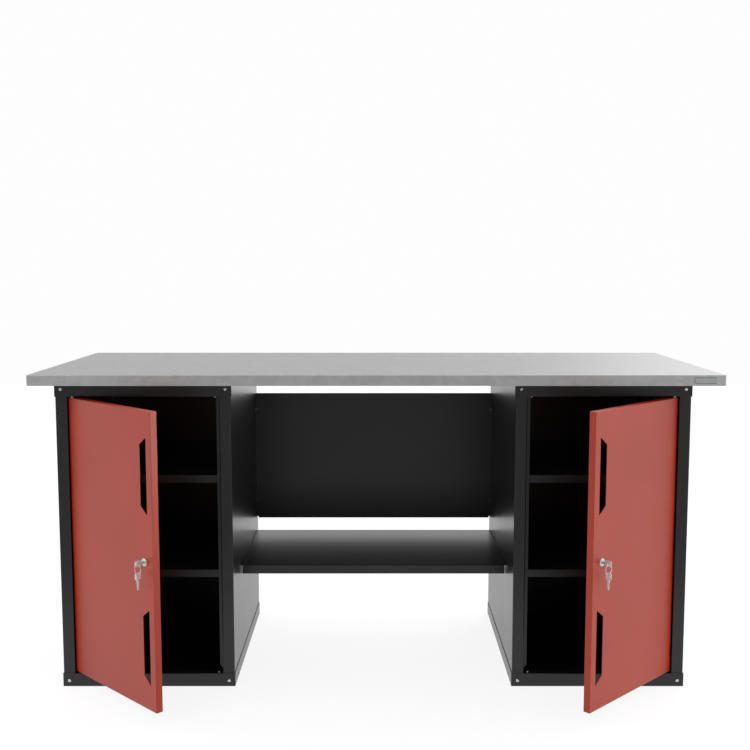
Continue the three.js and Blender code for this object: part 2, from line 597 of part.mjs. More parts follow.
// The bay's rear panel, with a flange at each side bolted to a cabinet and notched bottom corners.
function bayPanel() {
  const half = HALF_BAY - FIT;
  const front = PANEL_REAR - PANEL_FLANGE;
  const section = folded([[half, front], [half, PANEL_REAR], [-half, PANEL_REAR], [-half, front]]);
  const blank = drawn(section, "Z", PANEL_BOTTOM, PANEL_BOTTOM + PANEL_HEIGHT);
  const notches = [-half - SHEET, half - PANEL_NOTCH].map((x) => block(
    [x, front - SHEET, PANEL_BOTTOM - SHEET],
    [x + PANEL_NOTCH + SHEET, PANEL_REAR + SHEET, PANEL_BOTTOM + PANEL_NOTCH],
  ));
  const bolts = PANEL_BOLT_PLACES.map(([y, z]) =>
    drill("X", SCREW_RADIUS + FIT, -HALF_BAY, HALF_BAY, [0, y, z]));
  return cut(blank, ...notches, ...bolts);
}

function bay() {
  const group = new THREE.Group();
  const shelf = mesh("bay_shelf", bayShelf(), charcoal);
  group.add(
    placed(shelf, [HALF_BAY - FIT, BAY_SHELF_FRONT, BAY_SHELF_TOP], [0, Math.PI, 0]),
    mesh("bay_panel", bayPanel(), charcoal),
  );
  const rows = {
    bay_panel_bolt_lower: PANEL_BOLT_PLACES[0],
    bay_panel_bolt_upper: PANEL_BOLT_PLACES[1],
    bay_shelf_bolt_front: SHELF_BOLT_PLACES[0],
    bay_shelf_bolt_rear: SHELF_BOLT_PLACES[1],
  };
  const inside = HALF_BAY - FIT - SHEET;
  for (const [name, [y, z]] of Object.entries(rows)) {
    for (const [side, hand] of [["left", -1], ["right", 1]]) {
      const bolt = mesh(`${side}_${name}`, screw(SCREW_LENGTH), bright);
      group.add(placed(bolt, [hand * inside, y, z], [0, (-hand * Math.PI) / 2, 0]));
    }
  }
  return group;
}

// The bench, with its cabinets' front at Y = 0 until it is moved to stand centred on the origin.
const bench = new THREE.Group();
const outerEnd = HALF_BAY + CABINET_WIDTH;
const leftCabinet = cabinet("left");
const rightCabinet = cabinet("right");
rightCabinet.scale.x = -1;
bench.add(
  worktop(),
  placed(leftCabinet, [-TOP_SHIFT - outerEnd, 0, 0]),
  placed(rightCabinet, [-TOP_SHIFT + outerEnd, 0, 0]),
  placed(bay(), [-TOP_SHIFT, 0, 0]),
);
const footprint = new THREE.Box3().setFromObject(bench, true);
bench.position.y = -(footprint.min.y + footprint.max.y) / 2;

export default bench;
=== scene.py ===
"""Looks of a workbench on two lockable cabinets, its doors half open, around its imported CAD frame.

Sizes are in millimetres until surface() puts them into a mesh, which is in metres.
"""

import json
import math

import bmesh
import bpy
import numpy as np
from mathutils import Euler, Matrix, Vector


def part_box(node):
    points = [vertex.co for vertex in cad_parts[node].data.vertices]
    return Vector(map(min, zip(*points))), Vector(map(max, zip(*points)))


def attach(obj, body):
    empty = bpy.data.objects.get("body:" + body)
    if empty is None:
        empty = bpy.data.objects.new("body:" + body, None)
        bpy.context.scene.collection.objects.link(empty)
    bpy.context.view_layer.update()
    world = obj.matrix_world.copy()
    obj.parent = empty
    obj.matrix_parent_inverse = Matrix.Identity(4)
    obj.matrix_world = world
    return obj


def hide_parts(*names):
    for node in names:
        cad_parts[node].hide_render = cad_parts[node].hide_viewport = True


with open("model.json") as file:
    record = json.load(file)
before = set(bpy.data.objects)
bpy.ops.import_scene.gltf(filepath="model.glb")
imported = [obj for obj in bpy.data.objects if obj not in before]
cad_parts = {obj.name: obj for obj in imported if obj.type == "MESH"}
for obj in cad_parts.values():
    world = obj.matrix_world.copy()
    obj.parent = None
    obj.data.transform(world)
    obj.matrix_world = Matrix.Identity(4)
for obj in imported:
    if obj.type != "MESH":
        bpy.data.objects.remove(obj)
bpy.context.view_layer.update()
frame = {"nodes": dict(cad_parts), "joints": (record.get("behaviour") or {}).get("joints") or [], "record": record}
record_joints = {joint["name"]: joint for joint in frame["joints"]}

MM = 0.001
NEAR = 1e-6  # millimetres: grid lines closer than this count as one
MERGE = 2e-6  # metres: points closer than this are merged
SHARP = math.radians(35)  # an edge over this angle stays sharp
SIDES = ("left", "right")
LEFT_HINGE, RIGHT_HINGE = (1000 * np.array(record_joints[f"{side}_door_hinge"]["pos_m"]) for side in SIDES)
MIRROR_X = LEFT_HINGE[0] + RIGHT_HINGE[0]  # x on the left and x of its twin on the right add up to this

# Sheet steel
SHEET = 1.2
FOLD = 2.2  # outside radius of a fold
FOLD_STEPS = 6
GUARD = 0.5  # from a fold to the nearest grid line on the flat

# Door, about its pivot: x to the free edge, y into the cabinet, z from its middle
DOOR_X = (-8.0, 382.25)
DOOR_HALF = 376.25
DOOR_FACE = -7.0
DOOR_DEPTH = 18.0
DOOR_FOLD = 1.3  # outside radius of its tight folds
DOOR_OPEN = math.radians(45)
PLAIN_X = np.linspace(60, 280, 5)  # grid lines on its plain part
SLOT_X = (330.85, 360.25)
SLOT_HALF = (76.0, 97.0)  # on the short and the long side
SLOT_RISE = 215.5
SLOT_MARGIN = 8  # from a slot to the grid lines around it
LOCK_X = 343.75
LOCK_HOLE = 9.3
LOCK_MARGIN = 18  # from the lock's middle to the grid lines above and below it

SHELF_NOTCH = 2.5  # from the bay shelf's ends to its front and rear folds

# Camera, fitted to the photograph's perspective
CAMERA_PLACE = (-0.0034, -2.9107, 1.1436)
CAMERA_TILT = math.radians(90 - 6.03)
CAMERA_LENS = 50
CAMERA_SENSOR = 36


# Mesh making


def grid(points):
    """A surface over two parameters: rows by columns of points, as points and the quads between them."""
    rows, columns = points.shape[:2]
    index = np.arange(rows * columns).reshape(rows, columns)
    quads = np.stack([index[:-1, :-1], index[:-1, 1:], index[1:, 1:], index[1:, :-1]], -1)
    return points.reshape(-1, 3), quads.reshape(-1, 4)


def surface(name, parts, material, body, slot, nodes=(), thickness=0.0):
    """One piece from parts of (points, quads): points that meet are merged, and a quad with two corners
    in one place becomes a triangle. Angles over 35 degrees and open edges stay sharp."""
    starts = np.cumsum([0] + [len(points) for points, _ in parts])
    points = np.concatenate([points for points, _ in parts]) * MM
    quads = np.concatenate([quads + start for (_, quads), start in zip(parts, starts)])
    mesh = bpy.data.meshes.new(name)
    mesh.from_pydata(points, [], quads.tolist())
    shell = bmesh.new()
    shell.from_mesh(mesh)
    bmesh.ops.remove_doubles(shell, verts=shell.verts, dist=MERGE)
    bmesh.ops.recalc_face_normals(shell, faces=shell.faces)
    for face in shell.faces:
        face.smooth = True
    for edge in shell.edges:
        edge.smooth = edge.is_manifold and edge.calc_face_angle() < SHARP
    shell.to_mesh(mesh)
    shell.free()
    mesh.materials.append(material)
    piece = bpy.data.objects.new(name, mesh)
    bpy.context.scene.collection.objects.link(piece)
    if thickness:
        sheet = piece.modifiers.new("sheet", "SOLIDIFY")
        sheet.thickness = thickness * MM
        sheet.offset = -1
        sheet.use_even_offset = True
    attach(piece, body)
    if nodes:
        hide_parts(*nodes)


def border(us, vs):
    """The points round a rectangle of grid lines, from its low corner along u first."""
    low, high = np.full_like(vs, us[0]), np.full_like(vs, us[-1])
    near, far = np.full_like(us, vs[0]), np.full_like(us, vs[-1])
    return np.concatenate([
        np.stack([us, near], -1)[:-1],
        np.stack([high, vs], -1)[:-1],
        np.stack([us, far], -1)[:0:-1],
        np.stack([low, vs], -1)[:0:-1],
    ])


def pierced(us, vs, holes):
    """A flat plate on grid lines u by v. A hole is (u range, v range, outline): its block of cells is
    left out, and straight rungs go from the block's border to the outline made from that border."""
    plane = np.stack(np.meshgrid(us, vs, indexing="ij"), -1)
    flat = np.concatenate([plane, np.zeros_like(plane[..., :1])], -1)
    points, quads = grid(flat)
    quads = quads.reshape(len(us) - 1, len(vs) - 1, 4)
    keep = np.ones(quads.shape[:2], bool)
    parts = []
    for (u0, u1), (v0, v1), outline in holes:
        inside_u = (us > u0 - NEAR) & (us < u1 + NEAR)
        inside_v = (vs > v0 - NEAR) & (vs < v1 + NEAR)
        keep &= ~np.outer(inside_u[:-1] & inside_u[1:], inside_v[:-1] & inside_v[1:])
        outer = border(us[inside_u], vs[inside_v])
        inner = outline(outer)
        rungs = np.linspace(outer, inner, 3)
        closed = np.concatenate([rungs, rungs[:, :1]], 1)
        parts.append(grid(np.concatenate([closed, np.zeros_like(closed[..., :1])], -1)))
    return [(points, quads[keep])] + parts


def round_hole(centre, radius):
    """Each border point moves along its ray from the centre to the circle."""
    def outline(outer):
        rays = outer - centre
        return centre + radius * rays / np.linalg.norm(rays, axis=1, keepdims=True)
    return outline


def cornered_hole(corners):
    """Each side of the border is laid evenly along one straight side of the outline."""
    def outline(outer):
        low, high = outer.min(0), outer.max(0)
        turns = (low, (high[0], low[1]), high, (low[0], high[1]))
        starts = [np.argmin(np.abs(outer - corner).sum(1)) for corner in turns]
        ends = starts[1:] + [len(outer)]
        sides = [
            a + (b - a) * np.linspace(0, 1, end - start, endpoint=False)[:, None]
            for start, end, a, b in zip(starts, ends, corners, np.roll(corners, -1, 0))
        ]
        return np.concatenate(sides)
    return outline


def skirt(us, vs, reach, drop):
    """What goes round a plate whose flat part ends at the grid lines' ends: a profile of outward reach and
    drop below the plate is carried along the four sides, and fans out about each corner."""
    fan = np.linspace(0, np.pi / 2, FOLD_STEPS + 1)
    edges = [(us, vs[0], -np.pi / 2), (vs, us[-1], 0), (us[::-1], vs[-1], np.pi / 2), (vs[::-1], us[0], np.pi)]
    feet, ways = [], []
    for number, (line, level, way) in enumerate(edges):
        fixed = np.full_like(line, level)
        run = np.stack([line, fixed] if number % 2 == 0 else [fixed, line], -1)
        feet += [run, np.repeat(run[-1:], len(fan), 0)]
        ways += [np.full(len(run), way), way + fan]
    feet, ways = np.concatenate(feet), np.concatenate(ways)
    out = np.stack([np.cos(ways), np.sin(ways)], -1)
    plan = feet[None] + np.asarray(reach)[:, None, None] * out[None]
    height = np.broadcast_to(np.asarray(drop)[:, None, None], plan[..., :1].shape)
    return grid(np.concatenate([plan, height], -1))


def fold(depth, radius=FOLD):
    """The profile of a folded flange: a quarter circle, then straight down to its depth. A row just past
    the fold keeps the straight part's shading flat."""
    swing = np.linspace(0, np.pi / 2, FOLD_STEPS + 1)
    reach = np.append(radius * np.sin(swing), [radius, radius])
    return reach, np.append(radius * (1 - np.cos(swing)), [radius + GUARD, depth])


def guarded(lines):
    """Grid lines with one more just inside each end, so that a fold there leaves the plate's shading flat."""
    return np.concatenate([lines[:1], [lines[0] + GUARD], lines[1:-1], [lines[-1] - GUARD], lines[-1:]])


def turned(profile, steps=48):
    """A profile of radius and height turned about z."""
    radius, height = np.asarray(profile, float).T
    angle = np.linspace(0, 2 * np.pi, steps + 1)
    x, y = radius[:, None] * np.cos(angle), radius[:, None] * np.sin(angle)
    return [grid(np.stack([x, y, np.broadcast_to(height[:, None], x.shape)], -1))]


def polar(radius, height):
    """Rows of radius and height over a full turn of columns, each a function of the angle."""
    angle = np.linspace(0, 2 * np.pi, radius.shape[1])
    return grid(np.stack([radius * np.cos(angle), radius * np.sin(angle), height], -1))


def moved(parts, change):
    """The parts with their points put through change, such as a place on the bench."""
    return [(change(points), quads) for points, quads in parts]


def shifted(parts, by):
    """The parts with their points moved by one vector."""
    return moved(parts, lambda p: p + np.array(by))


def on_door(side):
    """From a door's own millimetres to the bench's: turned about its pivot, and mirrored on the right."""
    cosine, sine = math.cos(DOOR_OPEN), math.sin(DOOR_OPEN)

    def change(points):
        x, y, z = np.moveaxis(points, -1, 0)
        placed = np.stack([cosine * x + sine * y, cosine * y - sine * x, z], -1) + LEFT_HINGE
        if side == "right":
            placed[..., 0] = MIRROR_X - placed[..., 0]
        return placed
    return change


def on_lock(side):
    """From a lock's own millimetres, x to the free edge, y up and z out of the door's face, to the bench's."""
    place = on_door(side)
    return lambda p: place(np.stack([LOCK_X + p[..., 0], DOOR_FACE - p[..., 2], p[..., 1]], -1))


def facing(way, place):
    """From a fastener's own millimetres to the bench's: its z points along way, its origin is at place."""
    turn = np.array(Vector((0, 0, 1)).rotation_difference(Vector(way)).to_matrix())
    return lambda p: p @ turn.T + np.asarray(place)


def box_mm(node):
    """A CAD node's lowest and highest corners at rest, in millimetres."""
    low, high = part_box(node)
    return 1000 * np.array(low), 1000 * np.array(high)


# Materials
NOISE_LOW, NOISE_HIGH = 0.3, 0.7  # most of a noise texture's values lie between these
HAZE = 0.012  # how far a powder coat's roughness drifts
HANDLING = 0.12  # how much rougher a plated metal is where it is handled most


def linear(code):
    """An sRGB hex colour as linear RGBA."""
    channels = np.array([int(code[i:i + 2], 16) for i in (1, 3, 5)]) / 255
    low = channels <= 0.04045
    return (*np.where(low, channels / 12.92, ((channels + 0.055) / 1.055) ** 2.4), 1.0)


def add(tree, kind, inputs=None, **settings):
    """One node with its settings. An input given as a socket is linked, any other is set."""
    node = tree.nodes.new(kind)
    for key, value in settings.items():
        setattr(node, key, value)
    for key, value in (inputs or {}).items():
        if isinstance(value, bpy.types.NodeSocket):
            tree.links.new(value, node.inputs[key])
        else:
            node.inputs[key].default_value = value
    return node


def ramp(tree, factor, *stops):
    """A colour ramp of (position, hex colour) stops, read at factor."""
    node = add(tree, "ShaderNodeValToRGB", {"Fac": factor})
    while len(node.color_ramp.elements) < len(stops):
        node.color_ramp.elements.new(1.0)
    for element, (position, code) in zip(node.color_ramp.elements, stops):
        element.position = position
        element.color = linear(code)
    return node.outputs["Color"]


def new_material(name):
    """A material, with its node tree, its shader and its Object coordinates."""
    material = bpy.data.materials.new(name)
    material.use_nodes = True
    tree = material.node_tree
    place = add(tree, "ShaderNodeTexCoord").outputs["Object"]
    return material, tree, tree.nodes["Principled BSDF"], place


def noise(tree, place, size, detail):
    """The outputs of a noise texture whose patches are size millimetres across."""
    node = add(tree, "ShaderNodeTexNoise", {"Vector": place, "Scale": 1 / (size * MM), "Detail": detail})
    return node.outputs


def between(tree, factor, low, high):
    """A noise texture's values spread from low to high."""
    node = add(tree, "ShaderNodeMapRange", {
        "Value": factor, "From Min": NOISE_LOW, "From Max": NOISE_HIGH, "To Min": low, "To Max": high})
    return node.outputs["Result"]


def powder_coat(name, low, mid, high, roughness, index):
    """Polyester powder coat on sheet steel: baked paint, semi-gloss. The eye gets a broad soft reflection
    broken by orange peel, and a colour that drifts a little over a panel."""
    material, tree, shader, place = new_material(name)
    drift = noise(tree, place, size=260, detail=2.0)["Fac"]
    colour = ramp(tree, drift, (NOISE_LOW, low), (0.5, mid), (NOISE_HIGH, high))
    tree.links.new(colour, shader.inputs["Base Color"])
    haze = noise(tree, place, size=150, detail=2.0)["Fac"]
    tree.links.new(between(tree, haze, roughness - HAZE, roughness + HAZE), shader.inputs["Roughness"])
    # Orange peel is 1 to 3 mm across; it is drawn at 3 mm to show at all.
    peel = noise(tree, place, size=3, detail=1.0)["Fac"]
    bump = add(tree, "ShaderNodeBump", {"Height": peel, "Strength": 0.04, "Distance": 0.06 * MM})
    tree.links.new(bump.outputs["Normal"], shader.inputs["Normal"])
    shader.inputs["IOR"].default_value = index
    return material


def galvanised_sheet():
    """Hot-dip galvanised sheet, skin-passed: zinc crystals of 10 to 20 mm pressed flat, so that the eye
    gets a cool grey sheen with a faint patchwork and fine lines along the rolling direction."""
    material, tree, shader, place = new_material("galvanised_steel_sheet")
    warp = noise(tree, place, size=30, detail=2.0)["Color"]
    shift = add(tree, "ShaderNodeVectorMath", {0: warp, "Scale": 8 * MM}, operation="SCALE")
    bent = add(tree, "ShaderNodeVectorMath", {0: place, 1: shift.outputs["Vector"]}, operation="ADD")
    crystal = add(tree, "ShaderNodeTexVoronoi", {"Vector": bent.outputs["Vector"], "Scale": 1 / (16 * MM)})
    tone = add(tree, "ShaderNodeSeparateColor", {"Color": crystal.outputs["Color"]})
    stretched = add(tree, "ShaderNodeMapping", {"Vector": place, "Scale": (1.5, 420, 420)})
    rolled = add(tree, "ShaderNodeTexNoise", {
        "Vector": stretched.outputs["Vector"], "Scale": 1.0, "Detail": 3.0}).outputs["Fac"]
    mixed = add(tree, "ShaderNodeMix", {
        0: 0.45, 2: tone.outputs["Red"], 3: rolled}, data_type="FLOAT").outputs[0]
    colour = ramp(tree, mixed, (0.1, "#B1B1B1"), (0.5, "#B7B7B7"), (0.9, "#BDBDBD"))
    tree.links.new(colour, shader.inputs["Base Color"])
    gloss = add(tree, "ShaderNodeMapRange", {"Value": mixed, "To Min": 0.41, "To Max": 0.49})
    tree.links.new(gloss.outputs["Result"], shader.inputs["Roughness"])
    bump = add(tree, "ShaderNodeBump", {"Height": rolled, "Strength": 0.1, "Distance": 0.03 * MM})
    tree.links.new(bump.outputs["Normal"], shader.inputs["Normal"])
    shader.inputs["Metallic"].default_value = 1.0
    # A dulled skin: less glare at a low angle
    shader.inputs["Specular Tint"].default_value = (0.56, 0.56, 0.56, 1)
    return material


def plated(name, dark, light, roughness):
    """A bright plated or polished metal: it mirrors the room softly, clouded by handling in patches."""
    material, tree, shader, place = new_material(name)
    cloud = noise(tree, place, size=6, detail=4.0)["Fac"]
    tree.links.new(ramp(tree, cloud, (NOISE_LOW, dark), (NOISE_HIGH, light)), shader.inputs["Base Color"])
    tree.links.new(between(tree, cloud, roughness, roughness + HANDLING), shader.inputs["Roughness"])
    shader.inputs["Metallic"].default_value = 1.0
    return material


def chipboard():
    """Raw chipboard: pressed wood flakes of 2 to 6 mm in several tans, matt, with a rough face."""
    material, tree, shader, place = new_material("raw_chipboard")
    flat = add(tree, "ShaderNodeMapping", {"Vector": place, "Scale": (1.0, 1.6, 2.4)})
    flake = add(tree, "ShaderNodeTexVoronoi", {"Vector": flat.outputs["Vector"], "Scale": 1 / (5 * MM)})
    tone = add(tree, "ShaderNodeSeparateColor", {"Color": flake.outputs["Color"]})
    tans = ((0.0, "#8C673F"), (0.45, "#B08A5B"), (0.8, "#C5A374"), (1.0, "#D8BD92"))
    colour = ramp(tree, tone.outputs["Red"], *tans)
    tree.links.new(colour, shader.inputs["Base Color"])
    bump = add(tree, "ShaderNodeBump", {"Height": tone.outputs["Green"], "Strength": 0.3, "Distance": 0.2 * MM})
    tree.links.new(bump.outputs["Normal"], shader.inputs["Normal"])
    shader.inputs["Roughness"].default_value = 0.85
    return material


RED = powder_coat("red_powder_coat", "#A32C0E", "#A82E10", "#AD3012", roughness=0.36, index=1.5)
CHARCOAL = powder_coat("charcoal_powder_coat", "#131314", "#161617", "#19191A", roughness=0.295, index=1.47)
GALVANISED = galvanised_sheet()
ZINC = plated("bright_zinc_plate", "#C6C9CB", "#DCDEDF", roughness=0.32)
NICKEL = plated("nickel_silver", "#D2CFCA", "#DEDCD8", roughness=0.42)
SATIN = plated("satin_aluminium", "#ACADAE", "#B6B7B8", roughness=0.42)
CHIPBOARD = chipboard()

SLOT_MATERIALS = {
    "galvanised_steel": GALVANISED,
    "wood_board": CHIPBOARD,
    "charcoal_powder_coat": CHARCOAL,
    "red_powder_coat": RED,
    "bright_zinc": ZINC,
    "nickel_silver": NICKEL,
}
for subpart in frame["record"]["subparts"]:
    node_mesh = frame["nodes"][subpart["node"]].data
    node_mesh.materials.clear()
    node_mesh.materials.append(SLOT_MATERIALS[subpart["material_slot"]])


# Doors


def door_sheet():
    """A door's outer face, folds and flanges: a plate with two slots and a lock hole, folded all round."""
    flat_x = (DOOR_X[0] + DOOR_FOLD, DOOR_X[1] - DOOR_FOLD)
    flat_z = DOOR_HALF - DOOR_FOLD
    block_x = (SLOT_X[0] - SLOT_MARGIN, SLOT_X[1] + SLOT_MARGIN)
    xs = guarded(np.concatenate([flat_x[:1], PLAIN_X, np.linspace(*block_x, 5), flat_x[1:]]))
    slot_z = SLOT_HALF[1] + SLOT_MARGIN
    slot_zs = np.linspace(-slot_z, slot_z, 9)
    lock_zs = np.linspace(-LOCK_MARGIN, LOCK_MARGIN, 5)
    zs = guarded(np.concatenate([[-flat_z], slot_zs - SLOT_RISE, lock_zs, slot_zs + SLOT_RISE, [flat_z]]))
    slots = [
        (block_x, (rise - slot_z, rise + slot_z), cornered_hole(np.array([
            (SLOT_X[0], rise - SLOT_HALF[0]), (SLOT_X[1], rise - SLOT_HALF[1]),
            (SLOT_X[1], rise + SLOT_HALF[1]), (SLOT_X[0], rise + SLOT_HALF[0]),
        ])))
        for rise in (-SLOT_RISE, SLOT_RISE)
    ]
    lock = (block_x, (-LOCK_MARGIN, LOCK_MARGIN), round_hole(np.array([LOCK_X, 0]), LOCK_HOLE))
    parts = pierced(xs, zs, slots + [lock]) + [skirt(xs, zs, *fold(DOOR_DEPTH, DOOR_FOLD))]
    return moved(parts, lambda p: np.stack([p[:, 0], DOOR_FACE + p[:, 2], p[:, 1]], -1))


for side in SIDES:
    panel = moved(door_sheet(), on_door(side))
    surface(f"{side}_door_panel", panel, RED, f"{side}_door", "red_powder_coat", [f"{side}_door"], SHEET)


# Worktop


def worktop_sheet():
    """The worktop's skin: a flat plate folded down over the board's four edges, its corners welded round."""
    low, high = box_mm("worktop_skin")
    xs = guarded(np.linspace(low[0] + FOLD, high[0] - FOLD, 9))
    ys = guarded(np.linspace(low[1] + FOLD, high[1] - FOLD, 5))
    parts = pierced(xs, ys, []) + [skirt(xs, ys, *fold(high[2] - low[2]))]
    return moved(parts, lambda p: np.stack([p[:, 0], p[:, 1], high[2] - p[:, 2]], -1))


surface("worktop_cladding", worktop_sheet(), GALVANISED, "bench", "galvanised_steel", ["worktop_skin"], SHEET)


# A bare plate on the worktop's front edge. Its sections are rows of reach past its outline, and stand
# before the worktop's edge.
PLATE_MIDDLE = (846.5, 848.3)  # x and z
PLATE_HALF = (30.0, 9.0)
PLATE_CORNER = 4.5
PLATE_FIELD = [(-PLATE_CORNER, 0.9), (-2.7, 0.9), (-2.45, 0.75), (-2.45, 0.5), (-PLATE_CORNER, 0.5)]
PLATE_RIM = [(-1.4, 0.5), (-1.4, 0.9), (-1.2, 1.0), (-0.3, 1.0), (0, 0.8), (0, 0.0), (-1.4, 0.0), (-1.4, 0.5)]
PLATE_BACKING = [(-PLATE_CORNER, 0.5), (-0.4, 0.5), (-0.4, 0.0), (-PLATE_CORNER, 0.0)]


def name_plate():
    """A bare plate with rounded corners: a field and a rim around it, and a dark backing that shows in the
    groove between them."""
    xs = np.linspace(PLATE_CORNER - PLATE_HALF[0], PLATE_HALF[0] - PLATE_CORNER, 5)
    zs = np.linspace(PLATE_CORNER - PLATE_HALF[1], PLATE_HALF[1] - PLATE_CORNER, 3)
    middle = np.array([PLATE_MIDDLE[0], box_mm("worktop_skin")[0][1], PLATE_MIDDLE[1]])

    def around(section):
        reach, stand = np.array(section).T
        return [skirt(xs, zs, PLATE_CORNER + reach, stand)]

    def cushion(section):
        front, rear = (shifted(pierced(xs, zs, []), (0, 0, section[row][1])) for row in (0, -1))
        return front + rear + around(section)

    def place(points):
        return np.stack([points[:, 0], -points[:, 2], points[:, 1]], -1) + middle

    return moved(cushion(PLATE_FIELD) + around(PLATE_RIM), place), moved(cushion(PLATE_BACKING), place)


plate, backing = name_plate()
surface("worktop_plate", plate, SATIN, "bench", "bright_zinc")
surface("worktop_plate_backing", backing, CHARCOAL, "bench", "charcoal_powder_coat")


# Bay shelf


def shelf_pan():
    """The shelf between the cabinets: a plate folded down along its four sides. The front and rear folds
    stop short of the ends, which leaves a slit beside each cabinet."""
    low, high = box_mm("bay_shelf")
    xs = guarded(np.linspace(low[0] + FOLD, high[0] - FOLD, 9))
    ys = guarded(np.linspace(low[1] + FOLD, high[1] - FOLD, 7))
    xs[1], xs[-2] = low[0] + SHELF_NOTCH, high[0] - SHELF_NOTCH
    reach, drop = (column[:, None] for column in fold(high[2] - low[2]))
    parts = pierced(xs, ys, [])
    for level, way in ((ys[0], -1), (ys[-1], 1)):
        parts.append(grid(np.stack(np.broadcast_arrays(xs[None, 1:-1], level + way * reach, drop), -1)))
    for level, way in ((xs[0], -1), (xs[-1], 1)):
        parts.append(grid(np.stack(np.broadcast_arrays(level + way * reach, ys[None], drop), -1)))
    return moved(parts, lambda p: np.stack([p[:, 0], p[:, 1], high[2] - p[:, 2]], -1))


surface("bay_shelf_pan", shelf_pan(), CHARCOAL, "bench", "charcoal_powder_coat", ["bay_shelf"], SHEET)


# Fasteners
ROUND_STEPS = 96
CROSS_ARM = 2.3  # from a cross recess's middle to its arms' ends
CROSS_HALF = 0.55  # half an arm's width
CROSS_WALL = 0.25  # width of its walls' slope
CROSS_DEPTH = 1.5
PAN_HEAD = {"radius": 4.1, "rim": 1.0, "crown": 2.6, "shank": 2.4}
NUT = {"across": 8.0, "bore": 2.4, "height": 3.2}
NUT_PLACE = -7.0  # along its bolt, from the head's seat
SCREWS = ("base_outer", "base_inner", "top_outer", "top_inner")
BOLTS = ("bay_panel_bolt_lower", "bay_panel_bolt_upper", "bay_shelf_bolt_front", "bay_shelf_bolt_rear")


def screw(radius, rim, crown, shank, length):
    """A round-head screw along z. The head's height over radius r is crown - (crown - rim) (r / radius)^2.4,
    less a cross recess: it is deepest in the middle, slopes up to nothing at the arms' ends and has steep
    walls where the nearer of |x| and |y| passes half an arm's width."""
    angle = np.linspace(0, 2 * np.pi, ROUND_STEPS + 1)
    ring = np.ones_like(angle)
    r = np.linspace(0, radius, 22)[:, None] * ring
    x, y = np.abs(r * np.cos(angle)), np.abs(r * np.sin(angle))
    wall = np.clip((CROSS_HALF - np.minimum(x, y)) / CROSS_WALL + 0.5, 0, 1)
    slope = np.clip(1.25 * (1 - np.maximum(x, y) / CROSS_ARM), 0, 1)
    top = crown - (crown - rim) * (r / radius) ** 2.4 - CROSS_DEPTH * wall * slope
    under = np.array([(radius, 0.0), (shank, 0.0), (shank, -length), (0.0, -length)])[..., None] * ring
    return [polar(np.concatenate([r, under[:, 0]]), np.concatenate([top, under[:, 1]]))]


def hexagon_nut(across, bore, height):
    """A nut along z from 0: radius across / 2 / cos(a), where a is the angle to the nearest flat's middle,
    trimmed by a cone at both ends."""
    angle = np.linspace(0, 2 * np.pi, ROUND_STEPS + 1)
    flat = across / 2 / np.cos((angle + np.pi / 6) % (np.pi / 3) - np.pi / 6)
    trimmed = np.minimum(flat, across / 2 * 1.03)
    cone = 0.06 * across * (flat - trimmed) / (flat - trimmed).max()
    hole, low, high = np.full_like(angle, bore), np.zeros_like(angle), np.full_like(angle, height)
    rows = np.stack([hole, trimmed, flat, flat, trimmed, hole, hole])
    heights = np.stack([low, low, low + cone, high - cone, high, high, low])
    return [polar(rows, heights)]


for side in SIDES:
    for place in SCREWS:
        node = f"{side}_screw_{place}"
        low, high = box_mm(node)
        middle = (low + high) / 2
        seat = np.array([middle[0], low[1] + PAN_HEAD["crown"], middle[2]])
        parts = moved(screw(**PAN_HEAD, length=high[1] - seat[1]), facing((0, -1, 0), seat))
        surface(f"{node}_head", parts, ZINC, "bench", "bright_zinc", [node])
    inward = 1 if side == "left" else -1
    for place in BOLTS:
        node = f"{side}_{place}"
        low, high = box_mm(node)
        head, tip = (high[0], low[0]) if side == "left" else (low[0], high[0])
        middle = (low + high) / 2
        seat = np.array([head - inward * PAN_HEAD["crown"], middle[1], middle[2]])
        bolt = screw(**PAN_HEAD, length=abs(tip - seat[0])) + shifted(hexagon_nut(**NUT), (0, 0, NUT_PLACE))
        parts = moved(bolt, facing((inward, 0, 0), seat))
        surface(f"{node}_head", parts, ZINC, "bench", "bright_zinc", [node])


def rounded_pin(node, profile, up):
    """A turned pin on the axis of a CAD node, from the node's end that its flange is at."""
    low, high = box_mm(node)
    middle = (low + high) / 2
    seat = np.array([middle[0], middle[1], low[2] if up else high[2]])
    return moved(turned(profile), facing((0, 0, 1 if up else -1), seat))


PIVOT = [
    (0, 0), (2.6, 0), (3.6, 0.4), (4, 1.0), (4, 1.5), (2.5, 1.5), (2.5, 3.3), (3.3, 3.3), (3.6, 3.6),
    (3.6, 5.7), (3.3, 5.95), (2.5, 5.95), (2.5, 14.6), (1.9, 15.25), (0, 15.25),
]
STUD = [
    (0, 0), (2.6, 0), (3.6, 0.4), (4, 1.0), (4, 1.5), (2.5, 1.5), (2.5, 4.8), (2.1, 5.4), (1.2, 5.6), (0, 5.6),
]
for side in SIDES:
    for end, up in (("bottom", True), ("top", False)):
        for kind, profile in (("pivot", PIVOT), ("stud", STUD)):
            node = f"{side}_{kind}_{end}"
            surface(f"{node}_pin", rounded_pin(node, profile, up), ZINC, "bench", "bright_zinc", [node])


# Blind rivets that hold each back panel to the trays and side panels
RIVET = [
    (0.9, 0.55), (1.0, 0.9), (1.3, 1.15), (2.3, 0.95), (3.1, 0.4), (3.2, 0.0), (0, 0.0), (0, 0.55), (0.9, 0.55),
]
RIVET_TRAY = 18.0  # from the cabinet's bottom and top to the rows on the trays
RIVET_SIDE = 12  # from the panel's sides to the columns on the side panels
ROW_END = 40  # from the panel's sides to a row's ends
COLUMN_END = 120  # from the panel's bottom and top to a column's ends


